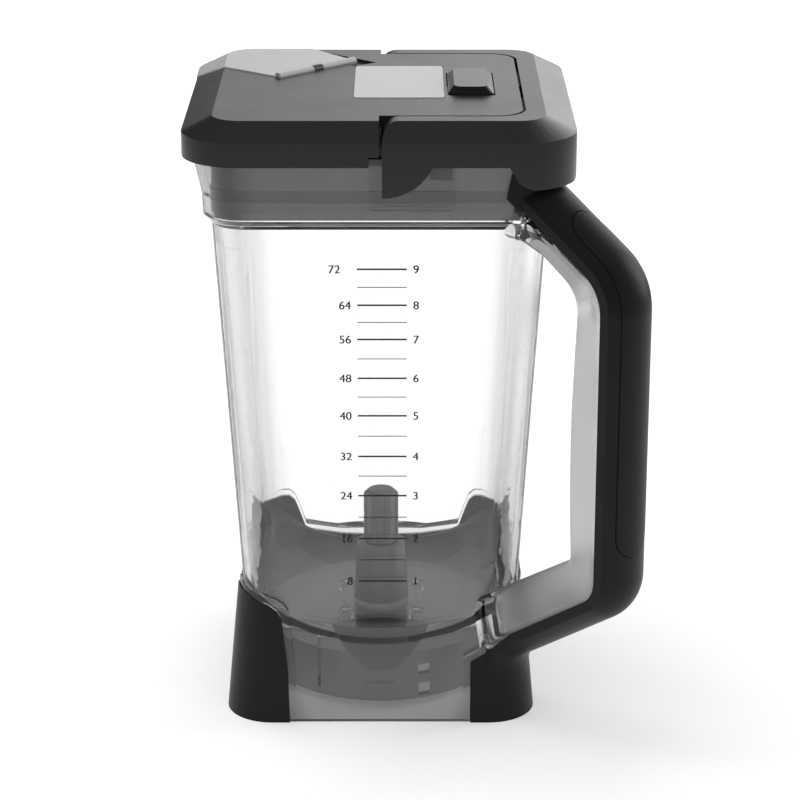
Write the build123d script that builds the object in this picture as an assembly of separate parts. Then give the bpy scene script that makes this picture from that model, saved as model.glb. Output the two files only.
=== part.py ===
from build123d import *
import os
from math import sqrt

# A clear blender jar with a two-part black lid, a handle on its front right corner and a spout on its
# back left corner. Millimetres. +Z is up, +X is to the right, and the origin is on the jar's axis in the
# plane that it stands on. The jar is mirror-symmetric about the upright plane through those two corners.

# Vessel
wall_half_at_base = 54.95
wall_lean = 0.0585
wall_thickness = 3.2
corner_radius_low = 12.0
corner_radius_high = 14.5
wall_root_height = 8.0
floor_height = 32.0
floor_radius = 37.5
floor_thickness = 3.2
bowl_radius = 40.0

# Rim
rim_step_height = 218.4
rim_step_rise = 4.2
rim_straight_height = 231.0
rim_top_height = 246.4
rim_half = 71.1
rim_half_straight = 71.4
rim_half_top = 74.4
rim_corner_radius = 17.0
rim_wall = 3.0
ledge_height = 220.8
spout_top_height = 249.2
spout_wall = 2.8
spout_low_height = 227.4
pad_low_x = -3.9
pad_high_x = 30.4
pad_low_height = 227.7
pad_half = 73.4
pad_corner_radius = 2.4

# Skirt and windows
skirt_half = 65.4
skirt_lean = 0.165
skirt_corner_radius = 19.0
skirt_wall = 3.0
skirt_lift = 0.3
shoulder_height = 40.4
shoulder_slope = 0.43
bulge_radius = 61.9
bulge_low_height = 22.0
window_half = 38.2
window_rib_offset = 26.0
window_rib_width = 1.2

# Soft feet
foot_half = 65.9
foot_lean = 0.092
foot_corner_radius = 20.0
foot_thickness = 2.0
foot_height = 57.2
lip_width = 3.0
lip_depth = 0.4
lip_reach = 5.0
bond_gap = 0.1

# Handle, in the upright plane through the handle corner: distance from the axis, then height
handle_half_width = 12.6
grip_half_width = 13.0
grip_flank = 4.2
grip_crown = 6.0
core_edge_radius = 3.0
seam_start_reach = 84.0
seam_top_height = 233.4
seam_reach = 134.8
seam_upper_height = 203.4
seam_lower_height = 74.6
seam_knee_reach = 90.0
seam_knee_height = 44.6
seam_foot_reach = 62.0
seam_foot_height = 18.0
tongue_depth = 5.5
tongue_half_width = 8.5
pad_half_width = 8.8
pad_thickness = 1.8
pad_proud = 0.35
pad_gap = 0.3
pad_floor_gap = 0.05
pad_bottom_height = 92.0
pad_top_height = 229.0
collar_half = 75.1
collar_top_height = 243.0
collar_low_height = 228.5
collar_corner_radius = 20.5
collar_half_width = 15.0
leg_reach = 72.6
leg_low_height = 2.0
leg_radius = 24.0

# Lid
lid_half = 79.0
lid_corner_radius = 24.0
lid_top_height = 262.6
bevel_inset = 12.4
bevel_height = 6.2
skirt_bottom_height = 246.6
lid_shell = 3.0
deck_gap = 0.6
deck_shell = 2.6
deck_bottom_height = 248.9
plate_shell = 2.7
plate_half_y = 57.6
plate_end_x = 57.6
plate_corner_radius = 11.0
groove_width = 1.2
left_end_x = 0.0
notch_width = 4.0
notch_height = 4.2

# Fold-up lid handle
pivot_x = 7.5
pivot_height = 256.4
hub_radius = 6.2
hub_gap = 0.7
pin_radius = 2.4
pin_clearance = 0.05
pin_inner_y = 51.0
pin_outer_y = 73.0
lobe_radius = 22.2
apron_height = 237.2

# Liner, gasket and hooks
liner_flange_half = 74.3
liner_gap = 0.7
liner_wall = 2.2
liner_bottom_height = 221.3
liner_panel_height = 240.0
liner_panel = 2.2
gasket_low_height = 229.8
gasket_height = 4.8
gasket_groove = 1.0
hook_low_x = 20.2
hook_high_x = 28.9
hook_low_height = 240.9

# Button and latch
button_x = 37.6
button_y = -1.4
button_width = 18.8
button_length = 40.5
button_rise = 3.0
button_chamfer = 2.4
button_gap = 0.5
button_flange = 1.6
tooth_start = -1.6
tooth_width = 3.5
tooth_top_height = 257.8
tooth_low_height = 251.1
tooth_gap = 0.35
spring_offset = 14.0
spring_radius = 4.2
spring_wire_radius = 0.5
spring_stem_radius = 2.5
label_x = 8.0
label_y = 2.6
label_width = 37.2
label_length = 59.0
label_thickness = 0.8
label_recess = 0.5

# Pour flap, along the back left diagonal: distance from the axis
flap_hinge_reach = 38.6
flap_half_width = 22.3
flap_flare = 3.2
flap_thickness = 1.8
flap_sit = 0.6
flap_pin_radius = 1.0
throat_start = 62.0
throat_half_width = 19.0
spout_room = 26.6
flap_proud = 0.4
flap_nose_height = 252.5
hinge_height = 262.4
barrel_radius = 2.1
knuckle_half_width = 2.4
knuckle_gap = 0.3
flap_pin_gap = 0.05
flap_underside = 261.2
seal_low_height = 257.0
seal_top_height = 259.4
screw_radius = 1.5

# Drive
post_radius = 7.6
post_top_height = 81.8
post_low_height = 58.2
post_splines = 6
hub_low_radius = 12.0
hub_high_radius = 10.6
hub_top_height = 57.4
hub_bottom_height = 13.0
housing_flange_radius = 17.0
shaft_radius = 4.0
shaft_top_height = 79.0
bush_radius = 7.2
bush_length = 9.0
seal_height = 2.4
shaft_running_gap = 0.05
coupling_radius = 13.5
coupling_top_height = 11.6
coupling_bottom_height = 3.4
ring_radius = 50.0
ring_wall = 3.0
ring_bottom_height = 3.0
ring_flange_height = 25.0
ring_flange = 2.4
ring_floor_bore = 13.0
ring_screw_reach = 22.0
screw_post_radius = 3.4
ring_screw_radius = 1.6

root2 = sqrt(2)
handle_plane = Plane(origin=(0, 0, 0), x_dir=(1, -1, 0), z_dir=(-1, -1, 0))
spout_plane = Plane(origin=(0, 0, 0), x_dir=(-1, 1, 0), z_dir=(1, 1, 0))
step_top = rim_step_height + rim_step_rise
top_half = lid_half - bevel_inset
bevel_low_height = lid_top_height - bevel_height
deck_inset = lid_shell + deck_gap
out = 200


# Shapes that several pieces use

def rounded_square(half, radius, height):
    return Pos(0, 0, height) * RectangleRounded(2 * half, 2 * half, radius)


def taper(half_low, radius_low, low, half_high, radius_high, high):
    lower = rounded_square(half_low, radius_low, low)
    upper = rounded_square(half_high, radius_high, high)
    return loft([lower, upper], ruled=True)


def block(x0, x1, y0, y1, z0, z1):
    return Pos((x0 + x1) / 2, (y0 + y1) / 2, (z0 + z1) / 2) * Box(x1 - x0, y1 - y0, z1 - z0)


def disc(radius, low, high, x=0, y=0):
    return Pos(x, y, (low + high) / 2) * Cylinder(radius, high - low)


def ring(outer, inner, low, high, x=0, y=0):
    return disc(outer, low, high, x, y) - disc(inner, low - 1, high + 1, x, y)


def rod_y(radius, y0, y1, x, z):
    return Pos(x, (y0 + y1) / 2, z) * Rot(90, 0, 0) * Cylinder(radius, y1 - y0)


def turned(points):
    return revolve(Plane.XZ * make_face(Polyline(*points, close=True)), Axis.Z)


def at_each(places, solid):
    """One shape from a copy of the solid at each place."""
    copies = places * solid
    return copies[0].fuse(*copies[1:])


def slab(outline, half_width, plane):
    """An outline in an upright plane, thickened equally to both sides."""
    return extrude(plane * make_face(outline), half_width, both=True)


def prism(points, low, high):
    """An outline over the spout diagonal (distance out, distance across), from one height to another."""
    plan = Plane(origin=(0, 0, low), x_dir=(-1, 1, 0), z_dir=(0, 0, 1))
    return extrude(plan * make_face(Polyline(*points, close=True)), high - low)


def on_both_faces(solid):
    """The solid and its mirror image in the upright plane through the handle and the spout."""
    return solid + mirror(solid, handle_plane)


# Vessel surfaces

def wall_half(height):
    return wall_half_at_base + wall_lean * height


def wall_corner(height):
    return corner_radius_low + (corner_radius_high - corner_radius_low) * height / rim_step_height


def skirt_half_at(height):
    return skirt_half - skirt_lean * height


def foot_half_at(height):
    return foot_half - foot_lean * height


def wall_solid(inset, low, high):
    return taper(wall_half(low) - inset, wall_corner(low) - inset, low,
                 wall_half(high) - inset, wall_corner(high) - inset, high)


def rim_solid(inset, top):
    flare = (rim_half_top - rim_half_straight) / (rim_top_height - rim_straight_height)
    high_half = rim_half_straight + flare * (top - rim_straight_height)
    corner = rim_corner_radius - inset
    solid = taper(wall_half(rim_step_height) - inset, corner_radius_high - inset, rim_step_height,
                  rim_half - inset, corner, step_top)
    solid += taper(rim_half - inset, corner, step_top, rim_half_straight - inset, corner, rim_straight_height)
    solid += taper(rim_half_straight - inset, corner, rim_straight_height, high_half - inset, corner, top)
    return solid


def skirt_solid(inset, low, high):
    corner = skirt_corner_radius - inset
    return taper(skirt_half_at(low) - inset, corner, low, skirt_half_at(high) - inset, corner, high)


def bowl(offset):
    """Everything above the bowl's surface, moved down and out by the offset."""
    floor = floor_height - offset
    centre = floor_height + bowl_radius
    radius = bowl_radius + offset
    arc = CenterArc((floor_radius, centre), radius, 270, 90)
    rest = Polyline((floor_radius + radius, centre), (floor_radius + radius, 2 * out),
                    (0, 2 * out), (0, floor), (floor_radius, floor))
    return revolve(Plane.XZ * make_face(arc + rest), Axis.Z)


def under_shoulder():
    """What lies under the skirt's shoulder, which rises towards the corners."""
    reach = 110
    middle = wall_half(shoulder_height)
    edge = shoulder_height + shoulder_slope * (reach - middle)
    centre = shoulder_height - shoulder_slope * middle
    return turned([(0, -1), (reach, -1), (reach, edge), (0, centre)])


# Feet

def foot_shell(inset, thickness, low, high):
    corner = foot_corner_radius - inset
    outer = taper(foot_half_at(low) - inset, corner, low, foot_half_at(high) - inset, corner, high)
    deep = inset + thickness
    corner = foot_corner_radius - deep
    inner = taper(foot_half_at(low) - deep, corner, low, foot_half_at(high) - deep, corner, high)
    return outer - inner


def front_bare(grow):
    """Outline of the bare front face right of the left foot; growing shrinks it."""
    left = -window_half + grow
    slope = [(left, -9), (left - 1.2, 25), (left - 3.6, 46), (left - 5.4, 49.2), (left - 9, 51.6),
             (left - 14, 53), (left - 18.5, 55.4), (left - 24, 59), (left - 24, 95), (out, 95), (out, -9)]
    return [(x, z + grow if 0 < z < 90 else z) for x, z in slope]


def back_bare(grow):
    """Outline of the bare back face between its two horns."""
    half = [(17.5, 36.8), (34.9, 39.3), (38.2, 49), (40, 53.6), (42.5, 55.9), (46, 56), (50, 54.9),
            (57, 54.6), (57, 95)]
    right = [(x, z + grow if z < 90 else z) for x, z in half]
    left = [(-x, z) for x, z in reversed(right)]
    return left + [(0, 36.1 + grow)] + right


def through_front(points, low_y, high_y):
    face = Plane.XZ.offset(-high_y) * make_face(Polyline(*points, close=True))
    return extrude(face, high_y - low_y)


def foot_band(inset, thickness, grow, low, high):
    """The band round the base with its bare faces cut away."""
    band = foot_shell(inset, thickness, low, high)
    front = through_front(front_bare(grow), -out, -42)
    back = through_front(back_bare(grow), 42, out)
    return band - on_both_faces(front) - on_both_faces(back)


# Handle outlines

def shifted(points, distance):
    """An open run of points moved sideways to its left by a distance."""
    moved = []
    for number, point in enumerate(points):
        before = points[max(number - 1, 0)]
        after = points[min(number + 1, len(points) - 1)]
        into = Vector(point[0] - before[0], point[1] - before[1])
        onward = Vector(after[0] - point[0], after[1] - point[1])
        if into.length == 0:
            into = onward
        if onward.length == 0:
            onward = into
        side = into.normalized().rotate(Axis.Z, 90) + onward.normalized().rotate(Axis.Z, 90)
        side = side.normalized()
        stretch = side.dot(into.normalized().rotate(Axis.Z, 90))
        moved.append((point[0] + side.X * distance / stretch, point[1] + side.Y * distance / stretch))
    return moved


seam_points = [(seam_start_reach, seam_top_height), (seam_reach, seam_upper_height),
               (seam_reach, seam_lower_height), (seam_knee_reach, seam_knee_height),
               (seam_foot_reach, seam_foot_height)]
seam_radii = [18.0, 12.0, 24.0]


def handle_core():
    """The clear handle: a flat bar with rounded inner edges and a narrower tongue inside the soft grip."""
    inner = [(52, seam_foot_height), (52, 43.5), (120.6, 86.6), (119.2, 115), (119.2, 150), (121.6, 199.2),
             (103, 210.9), (92, 214.4), (64, 216), (64, seam_top_height)]
    radii = [0.5, 0.5, 3.5, 400, 400, 14, 20, 10, 0.5, 0.5]
    outline = FilletPolyline(*seam_points, *inner, radius=[0.5] + seam_radii + [0.5] + radii, close=True)
    bar = slab(outline, handle_half_width, handle_plane)
    opening_edges = [edge for edge in bar.edges()
                     if edge.center().dot(Vector(1, -1, 0)) / root2 > 97
                     and edge.length > 3
                     and abs(abs(edge.center().dot(Vector(1, 1, 0)) / root2) - handle_half_width) < 0.01
                     and on_opening(edge)]
    bar = fillet(opening_edges, core_edge_radius)
    tongue = slab(tongue_outline(tongue_depth), tongue_half_width, handle_plane)
    return bar + tongue


def on_opening(edge):
    """Whether a handle edge borders the finger opening, which lies inside the seam."""
    middle = edge.center()
    reach = middle.dot(Vector(1, -1, 0)) / root2
    return reach < seam_reach - 8 and 70 < middle.Z < 213


def tongue_outline(depth):
    """Outline of the clear tongue, which follows the seam at a depth inside the soft grip."""
    outer = shifted(seam_points, depth)
    inner = [(seam_foot_reach + 20, seam_foot_height + 24), (seam_reach - 6, seam_lower_height + 8),
             (seam_reach - 6, seam_upper_height - 8), (seam_start_reach, seam_top_height - 6)]
    start = (seam_start_reach, seam_top_height + depth)
    points = [start, *outer[1:4], (seam_foot_reach + 12, seam_foot_height + 4), *inner]
    radii = [0.5] + [radius + depth for radius in seam_radii[:2]] + [seam_radii[2] - depth] + [0.5] * 5
    return FilletPolyline(*points, radius=radii, close=True)


def grip_section(path, flank, crown, half_width):
    """The soft grip's D-shaped section, square to the start of its path."""
    start = path @ 0
    heading = path % 0
    plane = Plane(origin=start, x_dir=Vector(1, 1, 0), z_dir=heading)
    lines = Polyline((half_width, flank), (half_width, 0), (-half_width, 0), (-half_width, flank))
    top = ThreePointArc((-half_width, flank), (0, flank + crown), (half_width, flank))
    return plane * make_face(lines + top)


def grip_line(distance):
    """The soft grip's path: along the seam, then straight on and down into the foot."""
    points = shifted(seam_points, distance)[:3]
    slope = (seam_lower_height - seam_knee_height) / (seam_reach - seam_knee_reach)
    bend_height = points[2][1] - slope * (points[2][0] - leg_reach)
    radii = [radius + distance for radius in seam_radii[:2]] + [leg_radius]
    return FilletPolyline(*points, (leg_reach, bend_height), (leg_reach, leg_low_height), radius=radii)


def grip_sweep(gap, flank, crown, half_width):
    path = handle_plane * grip_line(gap)
    return sweep(grip_section(path, flank, crown, half_width), path=path)


def pad_mask(grow):
    """A long rounded patch over the outside of the handle."""
    low = pad_bottom_height - grow
    high = pad_top_height + grow
    plane = Plane(origin=(0, 0, (low + high) / 2), x_dir=(1, 1, 0), z_dir=(1, -1, 0))
    plan = plane * SlotOverall(high - low, 2 * (pad_half_width + grow), rotation=90)
    return extrude(plan, out)


def grip_pad():
    skin = grip_sweep(bond_gap, grip_flank, grip_crown + pad_proud, grip_half_width + pad_proud)
    core = grip_sweep(bond_gap, grip_flank, grip_crown + pad_proud - pad_thickness, grip_half_width)
    return (skin - core) & pad_mask(0)


def pad_recess():
    skin = grip_sweep(bond_gap, grip_flank, grip_crown + 2 * pad_thickness, grip_half_width + pad_thickness)
    deep = pad_proud - pad_thickness - pad_floor_gap
    core = grip_sweep(bond_gap, grip_flank, grip_crown + deep, grip_half_width)
    return (skin - core) & pad_mask(pad_gap)


def collar():
    corner = collar_corner_radius
    tube = taper(collar_half, corner, collar_low_height, collar_half, corner, collar_top_height)
    outline = Polyline((70, 200), (130, 200), (130, 260), (70, 260), close=True)
    start, stop = shifted(seam_points, bond_gap)[:2]
    below = Polyline(start, stop, (seam_reach, 190), (seam_start_reach, 190), close=True)
    return (tube & slab(outline, collar_half_width, handle_plane)) - slab(below, 20, handle_plane)


def above_seam(grow):
    """What lies above the handle's seam at the foot, over the whole width of the foot."""
    points = shifted(seam_points, grow)[3:]
    rest = [(40, seam_foot_height - 22), (40, 120), (points[0][0], 120)]
    return slab(Polyline(*points, *rest, close=True), 60, handle_plane)


def corner_band(inset, thickness, grow, low, high):
    """The band round the base at the handle corner only."""
    edge = window_half - grow
    return foot_shell(inset, thickness, low, high) & block(edge, out, -out, -edge, -9, 120)


def outside_of_jar(grow):
    """The filled outer shape of vessel, rim and skirt, against which the soft mouldings lie."""
    vessel = wall_solid(-grow, wall_root_height, rim_step_height)
    skirt = skirt_solid(-grow, -2, 50) & under_shoulder()
    return vessel + rim_solid(-grow, rim_top_height) + skirt


def handle_overmould():
    grip = grip_sweep(bond_gap, grip_flank, grip_crown, grip_half_width) - above_seam(bond_gap)
    solid = grip + collar()
    solid -= outside_of_jar(bond_gap)
    solid -= corner_band(foot_thickness, lip_reach, lip_width + bond_gap, -1, 60) - above_seam(0)
    solid += corner_band(0, foot_thickness, 0, 0, foot_height) - above_seam(bond_gap)
    solid -= slab(tongue_outline(tongue_depth + bond_gap), tongue_half_width + bond_gap, handle_plane)
    return solid - pad_recess()


def lips():
    """The raised clear borders in which the soft feet are set."""
    high = foot_height + lip_width
    band = foot_band(lip_depth, lip_reach, lip_width, skirt_lift, high)
    corner = corner_band(lip_depth, lip_reach, lip_width, skirt_lift, high)
    return band + (corner - above_seam(-lip_width))


def foot_seats():
    """Room for the soft feet in the clear moulding."""
    deep = foot_thickness + 3 + bond_gap
    seats = foot_band(-3, deep, bond_gap, -1, foot_height + bond_gap)
    corner = corner_band(-3, deep, bond_gap, -1, foot_height + bond_gap)
    return seats + (corner - above_seam(0))


def base_overmould():
    return foot_band(0, foot_thickness, 0, 0, foot_height)


# Jar

def spout(grow, top):
    """The pouring lip on the back left corner; growing it inwards gives its channel."""
    lower = [(60, 20 - grow), (84, 20 - grow), (90 - grow, 13.5), (92.5 - grow, 4), (92.5 - grow, -4),
             (90 - grow, -13.5), (84, grow - 20), (60, grow - 20)]
    upper = [(60, 25 - grow), (81, 25 - grow), (100 - grow, 13.5), (106 - grow, 4), (106 - grow, -4),
             (100 - grow, -13.5), (81, grow - 25), (60, grow - 25)]
    plans = []
    for points, height in ((lower, spout_low_height), (upper, top)):
        plan = Plane(origin=(0, 0, height), x_dir=(-1, 1, 0), z_dir=(0, 0, 1))
        plans.append(plan * make_face(FilletPolyline(*points, radius=[1, 3, 3, 3, 3, 3, 3, 1], close=True)))
    return loft(plans, ruled=True)


def rim_pads():
    """The flat fields on front and back that clear the lobes of the lid handle."""
    centre = (pad_low_x + pad_high_x) / 2
    tall = 2 * (rim_top_height - pad_low_height)
    outline = Pos(centre, rim_top_height) * RectangleRounded(pad_high_x - pad_low_x, tall, pad_corner_radius)
    field = extrude(Plane.XZ * outline, pad_half, both=True)
    return field & block(-out, out, -out, out, pad_low_height - 1, rim_top_height)


def rim_pad_cut():
    side = block(pad_low_x, pad_high_x, -out, -pad_half, pad_low_height - 9, rim_top_height + 9)
    return side + mirror(side, Plane.XZ)


def bearing_housing():
    """The black hub in the jar's floor: it holds both bearings and the shaft seal."""
    cone = turned([(0, hub_bottom_height), (hub_low_radius, hub_bottom_height), (hub_low_radius, floor_height + 1),
                   (hub_high_radius, hub_top_height), (0, hub_top_height)])
    flange = disc(housing_flange_radius, ring_flange_height + bond_gap, floor_height - floor_thickness - bond_gap)
    return cone + flange - hub_bore()


def hub_bore():
    bore = disc(shaft_radius + 1, 0, 70)
    bore += disc(bush_radius, hub_bottom_height - 1, hub_bottom_height + bush_length)
    return bore + disc(bush_radius, hub_top_height - seal_height - bush_length, hub_top_height + 1)


def ring_places():
    return PolarLocations(ring_screw_reach, 4, start_angle=45)


def window_ribs():
    half = window_rib_width / 2
    rib = block(-window_rib_offset - half, -window_rib_offset + half, -skirt_half + 1.5, -46, 14.5, 36)
    rib &= skirt_solid(1, 0, 60)
    rib -= bowl(floor_thickness - 0.5)
    rib -= disc(ring_radius + 0.6, 0, 60)
    return on_both_faces(rib)


def jar_body():
    """The clear moulding: vessel, rim, spout, handle bar, skirt, lips round the feet, and screw posts."""
    outer = wall_solid(0, wall_root_height, rim_step_height) + rim_solid(0, rim_top_height) + rim_pads()
    outer -= rim_pad_cut()
    outer += skirt_solid(0, skirt_lift, 60) & under_shoulder()
    outer += disc(bulge_radius, bulge_low_height, 60) & under_shoulder()
    outer += lips()
    outer += spout(0, spout_top_height)
    outer += handle_core()
    body = outer - (wall_solid(wall_thickness, 20, rim_step_height) & bowl(0))
    body -= rim_solid(rim_wall, rim_top_height + 9) & block(-out, out, -out, out, ledge_height, 2 * out)
    body -= wall_solid(wall_thickness, rim_step_height - 9, ledge_height + 1)
    body -= skirt_solid(skirt_wall, -9, 60) - bowl(floor_thickness)
    body -= spout(spout_wall, spout_top_height + 0.01)
    body -= foot_seats()
    body += window_ribs()
    body += at_each(ring_places(), disc(screw_post_radius, ring_flange_height + bond_gap, floor_height - 1))
    body -= at_each(ring_places(), disc(ring_screw_radius, ring_flange_height - 1, floor_height - 2.3))
    return body - disc(hub_low_radius + bond_gap, 0, floor_height + 9)


# Lid

def lid_solid(inset, low):
    """The lid's outer shape, moved inwards by the same distance everywhere."""
    slope = bevel_height / bevel_inset
    norm = sqrt(1 + slope * slope)
    half = lid_half - inset
    corner = lid_corner_radius - inset
    edge = bevel_low_height + (slope - norm) * inset
    upper_half = top_half + inset * (1 - norm) / slope
    skirt = taper(half, corner, low, half, corner, edge)
    return skirt + taper(half, corner, edge, upper_half, corner - half + upper_half, lid_top_height - inset)


def lid_plan(half, low, high, corner):
    """A rounded prism on the lid's right half, open to the left."""
    outline = Pos((half - 60) / 2, 0, low) * RectangleRounded(half + 60, 2 * half, corner)
    return extrude(outline, high - low)


def both_ends(solid):
    return solid + mirror(solid, Plane.XZ)


def fan(grow):
    """Plan of the pour flap, which widens towards the corner."""
    wide = flap_half_width + grow
    flare = flap_half_width + flap_flare + 2 + grow
    start = flap_hinge_reach
    return prism([(start, -wide), (84, -flare), (120, -flare), (120, flare), (84, flare), (start, wide)],
                 flap_nose_height - grow, 300)


def flap_rod(radius, low, high):
    """A round bar on the flap's hinge line, between two places across the diagonal."""
    plane = Plane(origin=(0, 0, hinge_height), x_dir=(-1, 1, 0), z_dir=(-1, -1, 0))
    return extrude(plane.offset(low) * Pos(flap_hinge_reach, 0) * Circle(radius), high - low)


def lid_knuckle(radius):
    return flap_rod(radius, -knuckle_half_width, knuckle_half_width)


def hinge_block(grow):
    """Square room round the lid's knuckle, to cut the flap away beside it."""
    reach = barrel_radius + grow
    start = flap_hinge_reach - reach
    stop = flap_hinge_reach + reach
    half = knuckle_half_width + grow
    return prism([(start, -half), (stop, -half), (stop, half), (start, half)], 250, 280)


def spout_flap():
    """The translucent flap, hinged on the lid, that covers the spout."""
    plate = (lid_solid(-flap_proud, 240) - lid_solid(flap_thickness - flap_proud, 230)) & fan(0)
    plate -= hinge_block(knuckle_gap)
    barrel = flap_rod(barrel_radius, -flap_half_width, flap_half_width)
    barrel -= hinge_block(knuckle_gap)
    lug = prism([(68, -12), (80, -12), (80, 12), (68, 12)], seal_top_height - 0.4, flap_underside + 0.3)
    return plate + barrel + lug - flap_rod(flap_pin_radius + flap_pin_gap, -30, 30)


def flap_seal():
    """Soft stopper below the flap."""
    outline = [(64.5, -16), (84, -16), (84, 16), (64.5, 16)]
    stopper = prism(outline, seal_low_height, 270) & lid_solid(flap_thickness - flap_proud + 0.2, 200)
    return stopper - prism([(67.9, -12.1), (80.1, -12.1), (80.1, 12.1), (67.9, 12.1)], seal_top_height - 0.5, 270)


def flap_pin():
    return flap_rod(flap_pin_radius, -flap_half_width + 1, flap_half_width - 1)


def throat(grow, low, high):
    half = throat_half_width + grow
    return prism([(throat_start - grow, -half), (120, -half), (120, half), (throat_start - grow, half)], low, high)


def spout_gate(low, high):
    """Room for the jar's spout through the lid's skirt and flange."""
    half = spout_room
    return prism([(72, -half), (120, -half), (120, half), (72, half)], low, high)


def boss_places():
    return Locations((-50, 8), (-8, 50), (48, -48), (46, 46))


def lid_cover():
    """Left half and raised middle plate of the lid's top."""
    left = lid_solid(0, skirt_bottom_height) & block(-out, left_end_x, -out, out, 200, 300)
    left -= lid_solid(lid_shell, 200) & block(-out, left_end_x - lid_shell, -out, out, 200, 300)
    flange_room = liner_flange_half + 0.2
    left -= taper(flange_room, 20, 240, flange_room, 20, deck_bottom_height)
    deck = lid_solid(deck_inset, deck_bottom_height)
    plate = lid_plan(plate_end_x, 255, lid_top_height, plate_corner_radius)
    body = left + (deck - lid_solid(deck_inset + deck_shell, 200)) + plate
    left_room = lid_solid(lid_shell, 200) & block(-out, left_end_x - lid_shell, -out, out, 200, 300)
    body -= left_room - deck
    body -= lid_plan(plate_end_x - deck_shell - 1, 250, lid_top_height - plate_shell, plate_corner_radius - 3)
    body -= left_room
    boss = block(2, 13, 50, plate_half_y, 251.6, lid_top_height - 1)
    body += both_ends(boss)
    body -= both_ends(rod_y(hub_radius + hub_gap, plate_half_y + hub_gap, 90, pivot_x, pivot_height))
    body -= both_ends(rod_y(pin_radius, pin_inner_y, 60, pivot_x, pivot_height))
    body += at_each(boss_places(), disc(4, liner_panel_height, lid_top_height - 1))
    body -= at_each(boss_places(), disc(screw_radius, 238, 250))
    body -= block(left_end_x - notch_width, left_end_x + 1, -out, -70, 240, skirt_bottom_height + notch_height)
    body -= block(left_end_x - notch_width, left_end_x + 1, 70, out, 240, skirt_bottom_height + notch_height)
    body -= Pos(label_x, label_y, lid_top_height) * Box(label_width + 0.4, label_length + 0.4, 2 * label_recess)
    body -= Pos(button_x, button_y, 260) * Box(button_width + 2 * button_gap, button_length + 2 * button_gap, 12)
    body -= block(57.6, 62, -11, 11, 253.5, 259.5)
    body -= block(50, 59, button_y - 5.3, button_y + 5.3, 256.6, 259.4)
    body += latch_guides()
    body += lid_knuckle(barrel_radius)
    body -= (fan(0.5) - lid_solid(flap_thickness - flap_proud + flap_sit, 200)) - hinge_block(0)
    return lid_openings(body)


def lid_openings(body):
    """Cut the flap's barrel bed, the throat under it, the spout gate and the little triangular hollow."""
    bed = flap_rod(barrel_radius + knuckle_gap, -flap_half_width - 0.5, flap_half_width + 0.5)
    body -= bed - hinge_block(0)
    body -= throat(0, 230, 300) & (lid_solid(1, 200) + lid_solid(-5, 200))
    body -= spout_gate(230, flap_nose_height)
    body -= prism([(67, -25.6), (29.7, -27.2), (31.6, -15.5)], lid_top_height - 1.2, 300) - hinge_block(0)
    return body - flap_rod(flap_pin_radius, -flap_half_width, flap_half_width)


def bail_ring(inset, low):
    return lid_solid(inset, low) - lid_plan(plate_half_y + groove_width, 200, 300, plate_corner_radius + 1)


def apron(inset):
    """The front right corner of the lid handle's skirt, which reaches lower than the rest."""
    half = lid_half - inset
    corner = lid_corner_radius - inset
    tube = taper(half, corner, apron_height, half, corner, skirt_bottom_height + 1)
    points = [(51.2, 247), (53.2, 243.8), (55.2, 240.2), (58, 238.4), (62, apron_height), (62, 230),
              (20, 230), (20, 260), (51.2, 260)]
    away = through_front(points, -out, -50)
    left = block(-out, 51.2, -out, -50, 200, 300)
    away += left
    away += mirror(away, handle_plane)
    corner_room = block(20, out, -out, -20, 200, 300)
    return (tube & corner_room) - away


def bail():
    """The lid's fold-up carrying handle: a U-shaped channel on two hubs, with lobes beside the rim."""
    right = block(pivot_x, out, -out, out, 200, 300)
    ring_part = bail_ring(0, skirt_bottom_height) & right
    lobe = Plane.XZ * (Pos(pivot_x - hub_radius, pivot_height) * Circle(lobe_radius))
    lobe = extrude(lobe, lid_half, both=True)
    lobe &= block(pivot_x - hub_radius, out, -out, out, 200, pivot_height)
    lobe &= lid_solid(0, 200)
    solid = ring_part + lobe - lid_solid(lid_shell, 200)
    solid += apron(0) - lid_solid(lid_shell, 200)
    hub_bar = rod_y(hub_radius, plate_half_y + hub_gap * 2, 90, pivot_x, pivot_height)
    solid += both_ends(hub_bar) & lid_solid(0, 200)
    solid += block(59, 61.2, -10, 10, 254.5, 260)
    return solid - both_ends(rod_y(pin_radius + pin_clearance, 50, pin_outer_y + 0.5, pivot_x, pivot_height))


def bail_pin_front():
    return rod_y(pin_radius, -pin_outer_y, -pin_inner_y, pivot_x, pivot_height)


def bail_pin_back():
    return rod_y(pin_radius, pin_inner_y, pin_outer_y, pivot_x, pivot_height)


def liner_plug(inset):
    half = rim_half_straight - rim_wall - liner_gap - inset
    corner = rim_corner_radius - rim_wall - liner_gap - inset
    low = liner_bottom_height
    plug = taper(half - 1.4, corner - 1.4, low, half, corner, low + 4.2)
    return plug + taper(half, corner, low + 4.2, half, corner, deck_bottom_height)


def lid_liner():
    """The lid's underside: flange on the rim, plug in the mouth, closed panel, pour hole and two hooks."""
    flange = taper(liner_flange_half, 20, rim_top_height, liner_flange_half, 20, deck_bottom_height)
    plug = liner_plug(0) - (liner_plug(liner_wall) & block(-out, out, -out, out, 200, 300))
    panel = liner_plug(0.5) & block(-out, out, -out, out, liner_panel_height - liner_panel, liner_panel_height)
    body = flange - liner_plug(liner_wall) + plug + panel
    hook = block(hook_low_x, hook_high_x, -75.6, -73.5, hook_low_height, deck_bottom_height)
    body += both_ends(hook)
    groove = liner_plug(-2) - liner_plug(gasket_groove)
    body -= groove & block(-out, out, -out, out, gasket_low_height, gasket_low_height + gasket_height)
    body -= throat(0, liner_panel_height - liner_panel - 1, 260)
    body -= spout_gate(rim_top_height - 1, 260) - liner_plug(0)
    return body - at_each(boss_places(), disc(screw_radius, 230, 246))


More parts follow.
